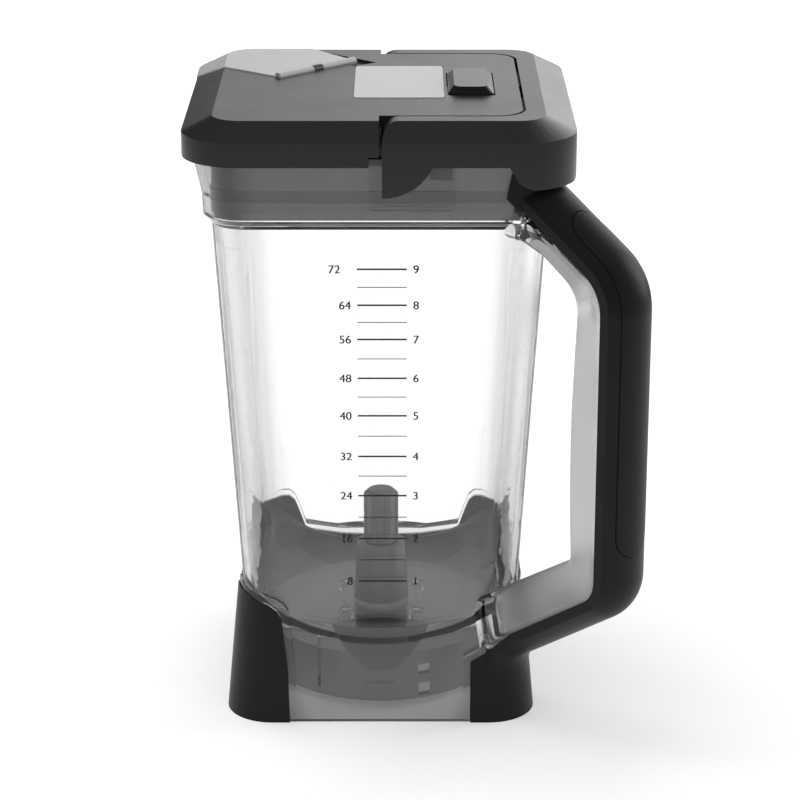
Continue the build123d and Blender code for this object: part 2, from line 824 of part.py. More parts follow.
def lid_gasket():
    half = rim_half_straight - rim_wall - liner_gap
    corner = rim_corner_radius - rim_wall - liner_gap
    outer = half + liner_gap - 0.1
    high = gasket_low_height + gasket_height
    band = taper(outer, corner + 0.6, gasket_low_height, outer, corner + 0.6, high)
    inner = half - gasket_groove
    return band - taper(inner, corner - gasket_groove, gasket_low_height - 1, inner, corner - gasket_groove, high + 1)


def lid_screws():
    screw = disc(screw_radius, 236, 248) + disc(3, 236, liner_panel_height - liner_panel)
    return boss_places() * screw


def label_plate():
    low = lid_top_height - label_recess
    return Pos(label_x, label_y, low + label_thickness / 2) * Box(label_width, label_length, label_thickness)


# Button and latch

def spring_places():
    return Locations((button_x, button_y - spring_offset), (button_x, button_y + spring_offset))


def release_button():
    """The push button: cap, stop flange, two spring stems and a slanted tooth that draws the latch back."""
    top = lid_top_height + button_rise
    low = lid_top_height - plate_shell - 0.2
    body = block(-button_width / 2, button_width / 2, -button_length / 2, button_length / 2, low - 1, top)
    body = chamfer(body.edges().group_by(Axis.Z)[-1], button_chamfer)
    body += block(-button_width / 2 - 1, button_width / 2 + 1, -button_length / 2 - 1, button_length / 2 + 1,
                  low - button_flange, low)
    shift = tooth_top_height - tooth_low_height
    tooth = Plane.XZ * make_face(Polyline(
        (tooth_start, low - 1), (tooth_start + tooth_width, low - 1), (tooth_start + tooth_width, tooth_top_height),
        (tooth_start + tooth_width + shift, tooth_low_height), (tooth_start + shift, tooth_low_height),
        (tooth_start, tooth_top_height), close=True))
    body = Pos(button_x, button_y, 0) * (body + extrude(tooth, 4, both=True))
    return body + at_each(spring_places(), disc(spring_stem_radius, 246, low - 1))


def latch_slide():
    """The hook plate: its slanted slot follows the button's tooth, and its tongue faces the lid handle."""
    base = block(-17, 12.9, -7.5, 7.5, 252.2, 254.6)
    base += block(12.9, 15.3, -5, 5, 252.2, 259.1)
    base += block(12.9, 20.8, -5, 5, 256.9, 259.1)
    shift = tooth_top_height - 251
    near = tooth_start - tooth_gap
    far = tooth_start + tooth_width + tooth_gap
    slot = Plane.XZ * make_face(Polyline((near, tooth_top_height), (far, tooth_top_height), (far + shift, 251),
                                         (near + shift, 251), close=True))
    base -= extrude(slot, 4 + tooth_gap, both=True)
    return Pos(button_x, button_y, 0) * base


def latch_guides():
    """Two hooks under the lid plate that carry the hook plate's inner end."""
    side = block(-16, -13, 7.8, 10, 250.4, 261) + block(-16, -13, 5, 10, 250.4, 251.9)
    return Pos(button_x, button_y, 0) * (side + mirror(side, Plane.XZ))


def spring(x, y):
    low = liner_panel_height + spring_wire_radius
    high = lid_top_height - plate_shell - 0.2 - button_flange - spring_wire_radius
    path = Helix(pitch=2.6, height=high - low, radius=spring_radius)
    wire = Plane(origin=path @ 0, z_dir=path % 0) * Circle(spring_wire_radius)
    coil = Pos(x, y, low) * sweep(wire, path=path)
    return coil & block(-out, out, -out, out, liner_panel_height, high + spring_wire_radius)


def button_spring_front():
    return spring(button_x, button_y - spring_offset)


def button_spring_back():
    return spring(button_x, button_y + spring_offset)


# Drive

def drive_post():
    """The splined post that turns the blades."""
    core = disc(post_radius - 1.2, post_low_height, post_top_height)
    lobe = Pos(post_radius - 2.2, 0, (post_low_height + post_top_height) / 2)
    lobe = lobe * Cylinder(2.2, post_top_height - post_low_height)
    post = core + at_each(PolarLocations(0, post_splines), lobe)
    post &= turned([(0, 50), (9, 50), (9, post_top_height - 3.6), (6.9, post_top_height - 1.2),
                    (5.4, post_top_height), (0, post_top_height)])
    for height in (60.4, 70):
        post -= ring(9, post_radius - 0.5, height, height + 0.8)
    return post - disc(shaft_radius, 50, shaft_top_height + 0.5)


def drive_shaft():
    return disc(shaft_radius, 6, shaft_top_height)


def bottom_coupling():
    puck = disc(coupling_radius, coupling_bottom_height, coupling_top_height)
    slot = Pos(7.5, 0, coupling_bottom_height + 2) * Cylinder(2.0, 5)
    puck -= at_each(PolarLocations(0, 6), slot)
    puck -= disc(6.5, 0, 6)
    return puck - disc(shaft_radius, 0, 20)


def shaft_clip():
    return ring(6.5, shaft_radius, 11.9, 12.7)


def upper_bearing():
    high = hub_top_height - seal_height
    return ring(bush_radius, shaft_radius + shaft_running_gap, high - bush_length, high)


def lower_bearing():
    return ring(bush_radius, shaft_radius + shaft_running_gap, hub_bottom_height, hub_bottom_height + bush_length)


def shaft_seal():
    return ring(bush_radius, shaft_radius + shaft_running_gap, hub_top_height - seal_height, hub_top_height)


def locking_ring():
    """The round black ring under the jar, with four lugs that turn into the motor base."""
    body = ring(ring_radius, ring_radius - ring_wall, ring_bottom_height, ring_flange_height)
    body += ring(ring_radius - 1, ring_floor_bore, ring_flange_height - ring_flange, ring_flange_height)
    lug = Pos(ring_radius, 0, 10) * Box(5, 12, 4)
    body += at_each(PolarLocations(0, 4), lug)
    body -= disc(ring_radius - ring_wall, 0, ring_flange_height - ring_flange)
    body -= block(16.4, 21.2, -60, -40, 4.3, 10.1) + block(16.2, 20.9, -60, -40, 14.2, 18.8)
    return body - at_each(ring_places(), disc(ring_screw_radius, 20, 28))


def ring_screws():
    screw = disc(ring_screw_radius, 21, 29.5) + disc(3, 20.4, ring_flange_height - ring_flange)
    return ring_places() * screw


# Export

pieces = {
    "jar_body": jar_body(),
    "handle_overmould": handle_overmould(),
    "grip_pad": grip_pad(),
    "base_overmould": base_overmould(),
    "bearing_housing": bearing_housing(),
    "locking_ring": locking_ring(),
    "lid_cover": lid_cover(),
    "lid_liner": lid_liner(),
    "lid_gasket": lid_gasket(),
    "label_plate": label_plate(),
    "bail": bail(),
    "bail_pin_front": bail_pin_front(),
    "bail_pin_back": bail_pin_back(),
    "release_button": release_button(),
    "button_spring_front": button_spring_front(),
    "button_spring_back": button_spring_back(),
    "latch_slide": latch_slide(),
    "spout_flap": spout_flap(),
    "flap_seal": flap_seal(),
    "flap_pin": flap_pin(),
    "drive_post": drive_post(),
    "drive_shaft": drive_shaft(),
    "bottom_coupling": bottom_coupling(),
    "shaft_clip": shaft_clip(),
    "upper_bearing": upper_bearing(),
    "lower_bearing": lower_bearing(),
    "shaft_seal": shaft_seal(),
}
for number, screw in enumerate(ring_screws(), start=1):
    pieces[f"ring_screw_{number}"] = screw
for number, screw in enumerate(lid_screws(), start=1):
    pieces[f"lid_screw_{number}"] = screw

os.makedirs("parts", exist_ok=True)
for name, piece in pieces.items():
    export_step(piece, f"parts/{name}.step")
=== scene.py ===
import math

import bmesh
import bpy
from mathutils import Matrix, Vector


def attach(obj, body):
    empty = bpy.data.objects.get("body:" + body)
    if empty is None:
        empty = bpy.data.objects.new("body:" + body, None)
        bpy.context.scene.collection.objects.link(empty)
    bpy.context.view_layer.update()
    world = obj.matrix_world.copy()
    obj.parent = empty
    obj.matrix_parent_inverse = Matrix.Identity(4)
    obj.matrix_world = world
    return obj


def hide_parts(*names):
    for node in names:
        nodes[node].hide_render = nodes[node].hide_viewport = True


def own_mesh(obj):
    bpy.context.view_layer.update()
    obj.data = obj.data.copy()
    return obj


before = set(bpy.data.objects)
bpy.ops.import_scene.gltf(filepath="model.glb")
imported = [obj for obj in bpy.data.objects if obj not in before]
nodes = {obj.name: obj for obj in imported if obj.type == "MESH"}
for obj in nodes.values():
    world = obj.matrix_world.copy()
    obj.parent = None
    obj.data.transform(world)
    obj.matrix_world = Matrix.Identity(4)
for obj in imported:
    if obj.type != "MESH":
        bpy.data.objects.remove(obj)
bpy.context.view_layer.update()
scene = bpy.context.scene
MM = 0.001

# Vessel as in the part's own source: outside walls, plan corners and the bowl's round side
WALL_HALF_AT_BASE = 54.95 * MM
WALL_LEAN = 0.0585
WALL_THICKNESS = 3.2 * MM
CORNER_RADIUS_LOW = 12.0 * MM
CORNER_RADIUS_GAIN = 2.5 / 218.4
BOWL_SIDE = 77.5 * MM
BOWL_SIDE_LOW = 71.9 * MM
BOWL_SIDE_HIGH = 209.6 * MM
BOWL_SIDE_TOLERANCE = 0.05 * MM
LEVEL_FACE_HEIGHT = 0.5 * MM

# Printed scale on the front wall: height of each full mark, number left of it, number right of it
SCALE_MARKS = [
    (201.7, "72", "9"),
    (186.3, "64", "8"),
    (171.5, "56", "7"),
    (154.5, "48", "6"),
    (137.9, "40", "5"),
    (119.7, "32", "4"),
    (101.9, "24", "3"),
    (82.2, "16", "2"),
    (62.4, "8", "1"),
]
INK_LIFT = 0.05 * MM
MARK_LEFT = -9.0 * MM
MARK_RIGHT = 11.1 * MM
FULL_MARK_WIDTH = 0.75 * MM
HALF_MARK_WIDTH = 0.38 * MM
NUMBER_HEIGHT = 3.5 * MM
DIGIT_SHARE_OF_FONT = 0.7
LEFT_NUMBER_END = -11.4 * MM
RIGHT_NUMBER_START = 13.6 * MM
NUMBER_SPREAD = 0.09 * MM
FIRST_LEFT_NUMBER_END = -15.6 * MM

# Edge roundings that the eye reads as light lines: width, body that it rides on, slot of its finish
EDGE_ROUNDINGS = {
    "lid_cover": (0.45 * MM, "jar", "black_plastic"),
    "bail": (0.45 * MM, "bail", "black_plastic"),
    "release_button": (0.5 * MM, "button", "gloss_black"),
    "label_plate": (0.25 * MM, "jar", "pale_plate"),
    "drive_post": (0.3 * MM, "spindle", "black_plastic"),
}
EDGE_SEGMENTS = 2
SHARP_ANGLE = math.radians(24)
FLAT_ANGLE = math.radians(1.0)
SAME_POINT = 0.002 * MM
ROUND_PROFILE = 0.5

# Plan corners rounded further: radius, and how far in from the piece's box the corner edges lie
PLAN_CORNER_ROUNDINGS = {
    "label_plate": (2.2 * MM, 0.1 * MM),
    "release_button": (3.0 * MM, 3.6 * MM),
}
PLAN_CORNER_SEGMENTS = 6
PLAN_CORNER_STEEPNESS = 0.3

# Springs under the button
BUTTON_SPRINGS = ("button_spring_front", "button_spring_back")

# Noise over moulded, turned and clear surfaces: turns for each metre, and how far it changes them
NOISE_MIDDLE = 0.5
MOULDED_BROAD_SCALE = 35.0
MOULDED_ROUGHNESS_GAIN = 2.0
GRAIN_DETAIL = 1.0
TURNED_BROAD_SCALE = 120.0
TURNING_MARK_SCALE = 900.0
TURNING_MARK_BEND = 1.5
TURNED_SHADE_LOW = 0.9
TURNED_SHADE_CHANGE = 0.2
TURNED_ROUGHNESS_CHANGE = 0.12
CLEAR_BROAD_SCALE = 40.0
CLEAR_SHADE_LOW = 0.997
CLEAR_SHADE_CHANGE = 0.006

# Clear plastic: haze along the handle, which fades below the rim, and painted shade at its lower
# arm
HANDLE_HAZE_START = 82 * MM
HANDLE_HAZE_FULL = 90 * MM
HIGH_HAZE_LOW = 185 * MM
HIGH_HAZE_HIGH = 205 * MM
HIGH_HAZE_SHARE = 0.1
ARM_SHADE_START = 76 * MM
ARM_SHADE_FULL = 84 * MM
ARM_SHADE_LOW = 68 * MM
ARM_SHADE_HIGH = 90 * MM

# Clear plastic: painted shade in darker bands down the vessel's corners, and light lost for each
# metre inside
CLEAR_CORNER_BAND = 18 * MM
CLEAR_CORNER_FADE = 12 * MM
CLEAR_CORNER_TOP = 215 * MM
CLEAR_MURK = 8.0

# Brightness of the studio in reflections and through clear plastic, and on matt surfaces
BACK_LEFT_GLOW = 0.04
BACK_RIGHT_GLOW = 1.85
FRONT_LEFT_GLOW = 0.1
FRONT_RIGHT_GLOW = 0.35
CEILING_GLOW = 0.1
LOW_CLEAR_GLOW = 0.7
HIGH_CLEAR_GLOW = 0.4
DIFFUSE_GLOW = 0.54

# Where the studio changes from one brightness to the next, as parts of a direction
BACK_LEFT_TO_RIGHT = (-0.30, 0.32)
FRONT_LEFT_TO_RIGHT = (-0.6, 0.7)
FRONT_TO_BACK = (-0.1, 0.5)
SIDES_TO_CEILING = (0.5, 0.85)
LOW_TO_HIGH_CLEAR = (-0.02, 0.15)

# Floor: its own colour, and the light added to it for the eye, near the jar and far behind it
FLOOR_HALF = 8.0
FLOOR_PALE = 0.8
FLOOR_LIFT = 0.31
FAR_FLOOR_LIFT = 0.4
FAR_FLOOR = (0.7, 1.8)

# Floor in reflections: it fades out between these distances from the jar
MIRRORED_FLOOR_END = (0.85, 1.2)
MIRRORED_FLOOR_LOSS = 0.75

# Floor through clear plastic: shade under the jar, in the studio's corners and towards the horizon
UNDER_JAR = (0.08, 0.16)
UNDER_JAR_SHADE = 0.6
STUDIO_CORNER_DEPTH = 0.45
STUDIO_CORNER_SHARE = (0.09, 0.21)
STUDIO_CORNERS_BEGIN = (0.15, 0.25)
STUDIO_CORNERS_END = (0.55, 0.9)
STUDIO_CORNERS_LEFT_OVER = 0.2
HORIZON = (1.3, 2.2)
HORIZON_SHADE = 0.45
DEEPEST_SHADE = 0.7
NOT_ZERO = 0.0001

# Lamps: place, aim, width and height, watts, and whether reflections show them
SOFTBOXES = {
    "top_softbox": ((-0.45, 0.2, 1.8), (0, 0, 0.1), (1.3, 1.3), 19, False),
    "right_softbox": ((1.5, 0.5, 0.8), (0, 0, 0.15), (0.5, 1.2), 8, True),
}

# Camera, solved from the lid, the rim and the feet
CAMERA_PLACE = (8.35 * MM, -1117.2 * MM, 516.0 * MM)
CAMERA_TILT = math.radians(70.6)
SENSOR_WIDTH = 36.0
LENS = 122.8
SIGHT_END = 50.0


def new_object(name, data):
    """An object in the scene around a mesh, curve, lamp or camera."""
    item = bpy.data.objects.new(name, data)
    scene.collection.objects.link(item)
    return item


# Small steps of a shader

def feed(tree, socket, value):
    """Link another socket to a socket, or set it to a plain value."""
    if isinstance(value, bpy.types.NodeSocket):
        tree.links.new(value, socket)
    else:
        socket.default_value = value


def math_node(tree, operation, first, second):
    """One sum, difference, product, quotient or maximum."""
    node = tree.nodes.new("ShaderNodeMath")
    node.operation = operation
    feed(tree, node.inputs[0], first)
    feed(tree, node.inputs[1], second)
    return node.outputs[0]


def ramp_node(tree, value, low, high, low_value, high_value):
    """A value that runs from one level to another between two limits."""
    ramp = tree.nodes.new("ShaderNodeMapRange")
    levels = {"Value": value, "From Min": low, "From Max": high,
              "To Min": low_value, "To Max": high_value}
    for label, level in levels.items():
        feed(tree, ramp.inputs[label], level)
    return ramp.outputs["Result"]


def own_place(tree):
    """The place of a point on a piece, in metres."""
    return tree.nodes.new("ShaderNodeTexCoord").outputs["Object"]


def split_vector(tree, vector):
    split = tree.nodes.new("ShaderNodeSeparateXYZ")
    tree.links.new(vector, split.inputs[0])
    return split.outputs


def scaled_colour(tree, colour, factor):
    scaling = tree.nodes.new("ShaderNodeVectorMath")
    scaling.operation = "SCALE"
    tree.links.new(colour, scaling.inputs[0])
    tree.links.new(factor, scaling.inputs["Scale"])
    return scaling.outputs["Vector"]


def noise_value(tree, scale, detail=3.0):
    """Noise between about 0.3 and 0.7 over the piece's own place in space."""
    noise = tree.nodes.new("ShaderNodeTexNoise")
    noise.inputs["Detail"].default_value = detail
    feed(tree, noise.inputs["Scale"], scale)
    tree.links.new(own_place(tree), noise.inputs["Vector"])
    return noise.outputs["Fac"]


# Shared shader groups

def new_group(name, inputs):
    """An empty shader group that will give a colour, a roughness and a height."""
    group = bpy.data.node_groups.new(name, "ShaderNodeTree")
    for label, kind, value in inputs:
        socket = group.interface.new_socket(label, in_out="INPUT", socket_type=kind)
        socket.default_value = value
    group.interface.new_socket("Color", in_out="OUTPUT", socket_type="NodeSocketColor")
    group.interface.new_socket("Roughness", in_out="OUTPUT", socket_type="NodeSocketFloat")
    group.interface.new_socket("Height", in_out="OUTPUT", socket_type="NodeSocketFloat")
    return group, group.nodes.new("NodeGroupInput")


def close_group(group, colour, roughness, height):
    """Lead a group's colour, roughness and height out of it."""
    end = group.nodes.new("NodeGroupOutput")
    group.links.new(colour, end.inputs["Color"])
    group.links.new(roughness, end.inputs["Roughness"])
    group.links.new(height, end.inputs["Height"])
    return group


def moulded_surface_group():
    """Fine spark-eroded grain of a moulded part, with soft changes of colour and gloss."""
    group, start = new_group(
        "moulded_surface",
        [("Color", "NodeSocketColor", (0.02, 0.02, 0.02, 1)),
         ("Color Change", "NodeSocketFloat", 0.15),
         ("Roughness", "NodeSocketFloat", 0.4),
         ("Roughness Change", "NodeSocketFloat", 0.06),
         ("Grain Scale", "NodeSocketFloat", 2500.0)])
    broad = noise_value(group, MOULDED_BROAD_SCALE)
    grain = noise_value(group, start.outputs["Grain Scale"], GRAIN_DETAIL)
    swing = math_node(group, "SUBTRACT", broad, NOISE_MIDDLE)
    shade = math_node(group, "MULTIPLY", swing, start.outputs["Color Change"])
    shade = math_node(group, "ADD", shade, 1.0)
    dull = math_node(group, "MULTIPLY", swing, start.outputs["Roughness Change"])
    dull = math_node(group, "MULTIPLY", dull, MOULDED_ROUGHNESS_GAIN)
    dull = math_node(group, "ADD", dull, start.outputs["Roughness"])
    return close_group(group, scaled_colour(group, start.outputs["Color"], shade), dull, grain)


def turned_metal_group():
    """Turning marks of bright metal parts."""
    group, start = new_group(
        "turned_metal",
        [("Color", "NodeSocketColor", (0.6, 0.6, 0.6, 1)),
         ("Roughness", "NodeSocketFloat", 0.3)])
    marks = group.nodes.new("ShaderNodeTexWave")
    marks.bands_direction = "Z"
    marks.inputs["Scale"].default_value = TURNING_MARK_SCALE
    marks.inputs["Distortion"].default_value = TURNING_MARK_BEND
    group.links.new(own_place(group), marks.inputs["Vector"])
    broad = noise_value(group, TURNED_BROAD_SCALE)
    shade = math_node(group, "MULTIPLY", broad, TURNED_SHADE_CHANGE)
    shade = math_node(group, "ADD", shade, TURNED_SHADE_LOW)
    dull = math_node(group, "MULTIPLY", broad, TURNED_ROUGHNESS_CHANGE)
    dull = math_node(group, "ADD", dull, start.outputs["Roughness"])
    colour = scaled_colour(group, start.outputs["Color"], shade)
    return close_group(group, colour, dull, marks.outputs["Fac"])


def short_of_corner(tree, place, height):
    """Minus the way from a point to the vessel's square outside corner, in x and y together."""
    across = tree.nodes.new("ShaderNodeVectorMath")
    across.operation = "ABSOLUTE"
    tree.links.new(place, across.inputs[0])
    sides = split_vector(tree, across.outputs["Vector"])
    both = math_node(tree, "ADD", sides["X"], sides["Y"])
    lean = math_node(tree, "MULTIPLY", height, 2 * WALL_LEAN)
    level = math_node(tree, "SUBTRACT", both, lean)
    return math_node(tree, "SUBTRACT", level, 2 * WALL_HALF_AT_BASE)


def clear_moulding_group():
    """Clear plastic: smooth on the vessel, hazier on the handle, with painted shade darkening its
    corners and lower arm.
    """
    group, start = new_group(
        "clear_moulding",
        [("Color", "NodeSocketColor", (0.98, 0.98, 0.98, 1)),
         ("Handle Roughness", "NodeSocketFloat", 0.2),
         ("Arm Painted Shade", "NodeSocketFloat", 0.5),
         ("Corner Painted Shade Low", "NodeSocketFloat", 0.2),
         ("Corner Painted Shade High", "NodeSocketFloat", 0.06)])
    diagonal = math.sqrt(2)
    place = own_place(group)
    sides = split_vector(group, place)
    height = sides["Z"]
    reach = math_node(group, "SUBTRACT", sides["X"], sides["Y"])
    broad = noise_value(group, CLEAR_BROAD_SCALE)

    handle = ramp_node(group, reach, HANDLE_HAZE_START * diagonal, HANDLE_HAZE_FULL * diagonal,
                       0.0, 1.0)
    straight = ramp_node(group, height, HIGH_HAZE_LOW, HIGH_HAZE_HIGH, 1.0, HIGH_HAZE_SHARE)
    haze = math_node(group, "MULTIPLY", handle, start.outputs["Handle Roughness"])
    haze = math_node(group, "MULTIPLY", haze, straight)
    haze = math_node(group, "MULTIPLY", haze, math_node(group, "ADD", broad, NOISE_MIDDLE))

    # Painted shade: the clear plastic's colour is darkened at the root of the lower arm, below the
    # arm's upper heights
    root = ramp_node(group, reach, ARM_SHADE_START * diagonal, ARM_SHADE_FULL * diagonal, 0.0, 1.0)
    low = ramp_node(group, height, ARM_SHADE_LOW, ARM_SHADE_HIGH, 1.0, 0.0)
    arm = math_node(group, "MULTIPLY", root, low)
    arm = math_node(group, "MULTIPLY", arm, start.outputs["Arm Painted Shade"])

    # Painted shade: the clear plastic's colour is darkened in bands down the vessel's corners, more
    # at the bottom, not on the handle
    short = short_of_corner(group, place, height)
    corner = ramp_node(group, short, -CLEAR_CORNER_BAND, CLEAR_CORNER_FADE - CLEAR_CORNER_BAND,
                       0.0, 1.0)
    depth = ramp_node(group, height, 0.0, CLEAR_CORNER_TOP,
                      start.outputs["Corner Painted Shade Low"], start.outputs["Corner Painted Shade High"])
    corner = math_node(group, "MULTIPLY", corner, depth)
    corner = math_node(group, "MULTIPLY", corner, math_node(group, "SUBTRACT", 1.0, handle))

    # Colour: random tone from the noise, less the painted shade of the arm and of the corners
    shade = math_node(group, "MULTIPLY", broad, CLEAR_SHADE_CHANGE)
    shade = math_node(group, "ADD", shade, CLEAR_SHADE_LOW)
    shade = math_node(group, "SUBTRACT", shade, arm)
    shade = math_node(group, "SUBTRACT", shade, corner)
    return close_group(group, scaled_colour(group, start.outputs["Color"], shade), haze, broad)


MOULDED = moulded_surface_group()
CLEAR = clear_moulding_group()
TURNED = turned_metal_group()


# Materials

def surface(name, group, values, bump_distance, bump_strength=0.3):
    """A Principled material whose colour, gloss and bump come from a shared group."""
    material = bpy.data.materials.new(name)
    material.use_nodes = True
    tree = material.node_tree
    shader = tree.nodes["Principled BSDF"]
    effect = tree.nodes.new("ShaderNodeGroup")
    effect.node_tree = group
    for label, value in values.items():
        effect.inputs[label].default_value = value
    bump = tree.nodes.new("ShaderNodeBump")
    bump.inputs["Distance"].default_value = bump_distance
    bump.inputs["Strength"].default_value = bump_strength
    tree.links.new(effect.outputs["Color"], shader.inputs["Base Color"])
    tree.links.new(effect.outputs["Roughness"], shader.inputs["Roughness"])
    tree.links.new(effect.outputs["Height"], bump.inputs["Height"])
    tree.links.new(bump.outputs["Normal"], shader.inputs["Normal"])
    return material, shader


def black_lid_plastic():
    values = {"Color": (0.014, 0.014, 0.015, 1), "Roughness": 0.27, "Grain Scale": 3200.0}
    material, shader = surface("black_lid_plastic", MOULDED, values,
                               bump_distance=0.005 * MM, bump_strength=0.05)
    shader.inputs["IOR"].default_value = 1.5
    return material


def black_inner_plastic():
    """The smoother black of the pieces seen through the clear jar, lightened as painted light."""
    # Painted light: this black is lighter than the lid's to stand in for the haze and reflections
    # seen through the jar
    values = {"Color": (0.105, 0.105, 0.107, 1), "Roughness": 0.33, "Grain Scale": 60.0}
    return surface("black_inner_plastic", MOULDED, values,
                   bump_distance=0.005 * MM, bump_strength=0.1)[0]


def soft_grip_rubber():
    values = {"Color": (0.010, 0.010, 0.0105, 1), "Roughness": 0.42, "Grain Scale": 2600.0}
    material, shader = surface("soft_grip_rubber", MOULDED, values,
                               bump_distance=0.01 * MM, bump_strength=0.2)
    shader.inputs["IOR"].default_value = 1.45
    shader.inputs["Specular IOR Level"].default_value = 0.2
    return material


def gloss_button_plastic():
    values = {"Color": (0.006, 0.006, 0.007, 1), "Roughness": 0.1, "Roughness Change": 0.02,
              "Grain Scale": 1200.0}
    material, shader = surface("gloss_button_plastic", MOULDED, values, bump_distance=0.005 * MM)
    shader.inputs["IOR"].default_value = 1.52
    return material


def seal_rubber():
    values = {"Color": (0.05, 0.05, 0.052, 1), "Roughness": 0.6, "Grain Scale": 1800.0}
    return surface("seal_rubber", MOULDED, values, bump_distance=0.03 * MM)[0]


def label_plastic():
    values = {"Color": (0.5, 0.5, 0.5, 1), "Roughness": 0.55, "Grain Scale": 900.0,
              "Color Change": 0.12}
    return surface("label_plastic", MOULDED, values, bump_distance=0.02 * MM)[0]


def scale_ink():
    values = {"Color": (0.012, 0.012, 0.012, 1), "Roughness": 0.7, "Grain Scale": 4000.0}
    return surface("scale_ink", MOULDED, values, bump_distance=0.005 * MM)[0]


def turned_metal(name, colour):
    material, shader = surface(name, TURNED, {"Color": colour}, bump_distance=0.01 * MM)
    shader.inputs["Metallic"].default_value = 1.0
    return material


def clear_surface(name, group, tint, transmission, values, ior, murk=0.0):
    """A see-through plastic that lets shadow rays pass, so the floor keeps a soft shadow."""
    material, shader = surface(name, group, values, bump_distance=0.01 * MM, bump_strength=0.1)
    tree = material.node_tree
    shader.inputs["Transmission Weight"].default_value = transmission
    shader.inputs["IOR"].default_value = ior
    clear = tree.nodes.new("ShaderNodeBsdfTransparent")
    clear.inputs["Color"].default_value = tint
    path = tree.nodes.new("ShaderNodeLightPath")
    mix = tree.nodes.new("ShaderNodeMixShader")
    output = tree.nodes["Material Output"]
    tree.links.new(path.outputs["Is Shadow Ray"], mix.inputs[0])
    tree.links.new(shader.outputs[0], mix.inputs[1])
    tree.links.new(clear.outputs[0], mix.inputs[2])
    tree.links.new(mix.outputs[0], output.inputs["Surface"])
    if murk:
        body = tree.nodes.new("ShaderNodeVolumeAbsorption")
        body.inputs["Color"].default_value = (0, 0, 0, 1)
        body.inputs["Density"].default_value = murk
        tree.links.new(body.outputs[0], output.inputs["Volume"])
    return material


def clear_jar_plastic():
    # The arm and corner values set how deep the painted shade in the clear plastic is
    values = {"Color": (0.985, 0.985, 0.99, 1), "Handle Roughness": 0.6, "Arm Painted Shade": 0.36,
              "Corner Painted Shade Low": 0.5, "Corner Painted Shade High": 0.36}
    return clear_surface("clear_jar_plastic", CLEAR, tint=(0.93, 0.93, 0.93, 1), transmission=1.0,
                         values=values, ior=1.5, murk=CLEAR_MURK)


def milky_flap_plastic():
    values = {"Color": (0.58, 0.58, 0.58, 1), "Color Change": 0.05, "Roughness": 0.2,
              "Grain Scale": 700.0}
    return clear_surface("milky_flap_plastic", MOULDED, tint=(0.6, 0.6, 0.6, 1), transmission=0.45,
                         values=values, ior=1.48)


def dress(names, material):
    """Give some CAD nodes a material in place of their plain one."""
    for name in names:
        node = nodes[name]
        node.data.materials.clear()
        node.data.materials.append(material)


def dress_all():
    screws = [name for name in nodes if name.startswith(("ring_screw", "lid_screw"))]
    steel = ["bail_pin_front", "bail_pin_back", "flap_pin", "drive_shaft", "shaft_clip",
             *BUTTON_SPRINGS, *screws]
    dress(["jar_body"], clear_jar_plastic())
    dress(["handle_overmould", "grip_pad", "base_overmould"], soft_grip_rubber())
    dress(["lid_cover", "bail", "latch_slide", "bottom_coupling"], black_lid_plastic())
    dress(["lid_liner", "locking_ring", "bearing_housing", "drive_post"], black_inner_plastic())
    dress(["release_button"], gloss_button_plastic())
    dress(["lid_gasket", "flap_seal", "shaft_seal"], seal_rubber())
    dress(["label_plate"], label_plastic())
    dress(["spout_flap"], milky_flap_plastic())
    dress(["upper_bearing", "lower_bearing"], turned_metal("bearing_metal", (0.2, 0.18, 0.15, 1)))
    dress(steel, turned_metal("bright_steel", (0.58, 0.58, 0.59, 1)))


# Rounded copies of the hard-edged pieces of the lid, and of the post

def round_off(work, edges, radius, segments):
    bmesh.ops.bevel(work, geom=edges, offset=radius, offset_type="OFFSET", segments=segments,
                    profile=ROUND_PROFILE, affect="EDGES", clamp_overlap=True)


def round_corners(work, radius, reach):
    """Round the upright and sloping edges at a plate's four plan corners."""
    spans = []
    for axis in (0, 1):
        places = [vertex.co[axis] for vertex in work.verts]
        spans.append((min(places), max(places)))

    def in_corner(place):
        return all(place[axis] < low + reach or place[axis] > high - reach
                   for axis, (low, high) in enumerate(spans))

    def at_corner(edge):
        first, second = (vertex.co for vertex in edge.verts)
        steepness = abs((first - second).normalized().z)
        return in_corner(first) and in_corner(second) and steepness > PLAN_CORNER_STEEPNESS

    round_off(work, [edge for edge in work.edges if at_corner(edge)], radius, PLAN_CORNER_SEGMENTS)


def softened(name, width):
    """A copy of a CAD node whose sharp edges are rounded."""
    source = nodes[name]
    work = bmesh.new()
    work.from_mesh(source.data)
    bmesh.ops.remove_doubles(work, verts=work.verts, dist=SAME_POINT)
    bmesh.ops.dissolve_limit(work, angle_limit=FLAT_ANGLE, verts=work.verts, edges=work.edges)
    if name in PLAN_CORNER_ROUNDINGS:
        round_corners(work, *PLAN_CORNER_ROUNDINGS[name])
    sharp = [edge for edge in work.edges
             if len(edge.link_faces) == 2 and edge.calc_face_angle(0.0) > SHARP_ANGLE]
    round_off(work, sharp, width, EDGE_SEGMENTS)
    for face in work.faces:
        face.smooth = False
    mesh = bpy.data.meshes.new(name + "_rounded")
    work.to_mesh(mesh)
    work.free()
    mesh.materials.append(source.data.materials[0])
    piece = new_object(name + "_rounded", mesh)
    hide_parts(name)
    return piece


def round_edges():
    for name, (width, body, slot) in EDGE_ROUNDINGS.items():
        piece = softened(name, width)
        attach(piece, body)


def shortening_springs():
    """Copies of the button's springs with meshes of their own, carried by the jar."""
    for name in BUTTON_SPRINGS:
        piece = new_object(name + "_coil", nodes[name].data.copy())
        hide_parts(name)
        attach(piece, "jar")
        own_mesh(piece)


# Clear jar with even corners

